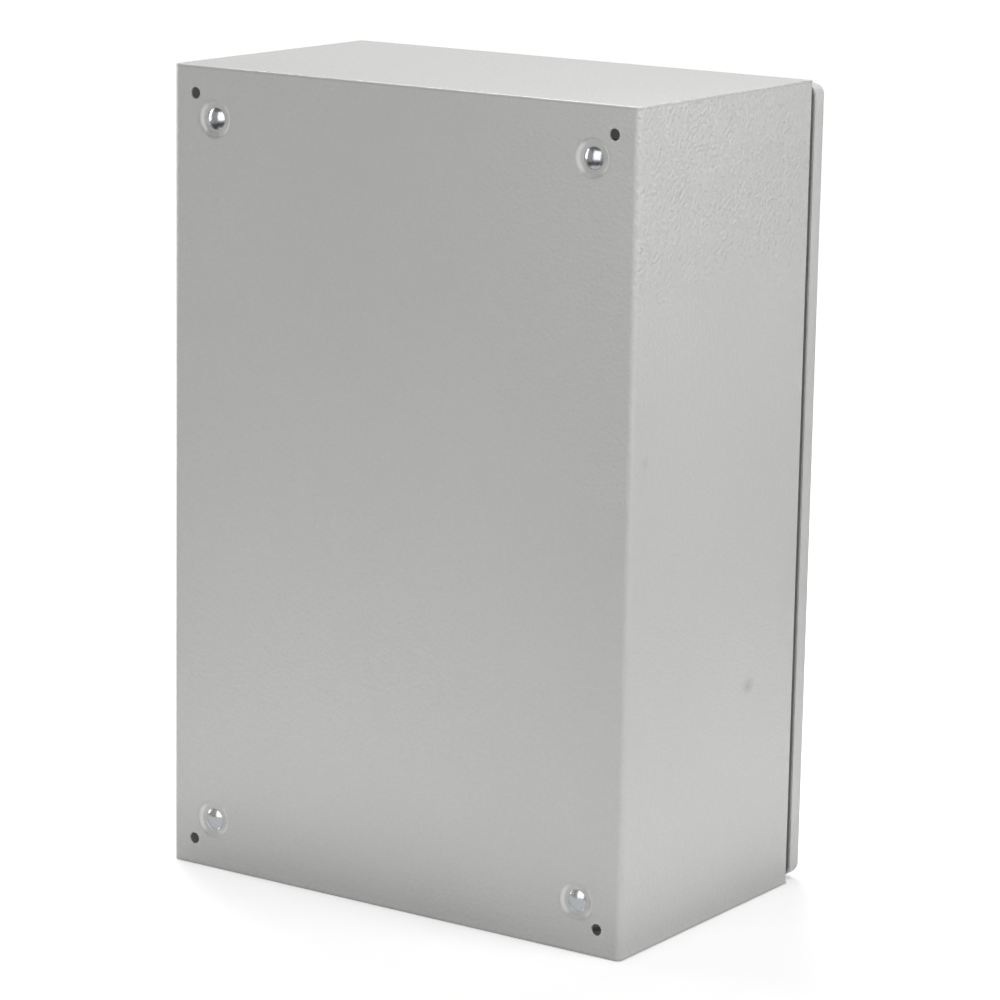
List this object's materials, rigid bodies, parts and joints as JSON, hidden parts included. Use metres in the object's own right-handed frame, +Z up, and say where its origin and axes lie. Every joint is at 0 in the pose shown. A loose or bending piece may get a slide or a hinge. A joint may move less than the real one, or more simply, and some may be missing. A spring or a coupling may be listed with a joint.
{
  "type": "wall-mounted sheet-steel enclosure",
  "caption": "Wall-mounted sheet-steel enclosure with a hinged door, two quarter-turn locks, a mounting plate on recessed press-in studs and a gland plate in the base.",
  "frame": {"origin": "centre of the underside's bounding box, on the plane the enclosure stands on; x = 0 is mid-width and y = 0 is mid-depth with the lock flanges included", "axes": "+Z up; -Y the way the door faces, +Y towards the wall the rear is fixed to; +X the hinge side, -X the lock side"},
  "size_m": [0.4, 0.253, 0.6],
  "materials": {
    "grey_powder_coat": "light grey textured powder coat",
    "zinc_plate": "bright zinc plated",
    "galvanised_sheet": "galvanised sheet, faint spangle",
    "sealing_foam": "foamed-in-place polyurethane, matt",
    "die_casting": "zinc die casting, satin"
  },
  "bodies": {
    "enclosure": {"shell_wrap": "grey_powder_coat", "top_panel": "grey_powder_coat", "bottom_panel": "grey_powder_coat", "mounting_studs": "zinc_plate", "plate_spacers": "zinc_plate", "mounting_plate": "galvanised_sheet", "plate_washers": "zinc_plate", "plate_nuts": "zinc_plate", "gland_studs": "zinc_plate", "gland_seal": "sealing_foam", "gland_plate": "grey_powder_coat", "gland_nuts": "zinc_plate", "earth_stud": "zinc_plate", "earth_washer": "zinc_plate", "earth_nut": "zinc_plate", "upper_hinge_frame_leaf": "zinc_plate", "upper_hinge_pin": "zinc_plate", "lower_hinge_frame_leaf": "zinc_plate", "lower_hinge_pin": "zinc_plate"},
    "door": {"door_panel": "grey_powder_coat", "door_seal": "sealing_foam", "door_rail_hinge_side": "grey_powder_coat", "door_rail_lock_side": "grey_powder_coat", "upper_hinge_door_leaf": "zinc_plate", "lower_hinge_door_leaf": "zinc_plate", "hinge_studs": "zinc_plate", "hinge_nuts": "zinc_plate", "door_earth_stud": "zinc_plate", "door_earth_washer": "zinc_plate", "door_earth_nut": "zinc_plate", "upper_lock_housing": "die_casting", "lower_lock_housing": "die_casting", "lock_seals": "sealing_foam", "lock_nuts": "zinc_plate"},
    "upper_lock": {"upper_lock_insert": "zinc_plate", "upper_lock_cam": "zinc_plate", "upper_cam_screw": "zinc_plate"},
    "lower_lock": {"lower_lock_insert": "zinc_plate", "lower_lock_cam": "zinc_plate", "lower_cam_screw": "zinc_plate"}
  },
  "joints": [
    {"name": "door_hinge", "type": "hinge", "parent": "enclosure", "child": "door", "pos_m": [0.1935, -0.113, 0.3], "axis": [0, 0, 1], "range_deg": [0, 120]},
    {"name": "upper_lock_turn", "type": "hinge", "parent": "door", "child": "upper_lock", "pos_m": [-0.148, -0.113, 0.45], "axis": [0, 1, 0], "range_deg": [0, 90]},
    {"name": "lower_lock_turn", "type": "hinge", "parent": "door", "child": "lower_lock", "pos_m": [-0.148, -0.113, 0.15], "axis": [0, 1, 0], "range_deg": [0, 90]}
  ]
}
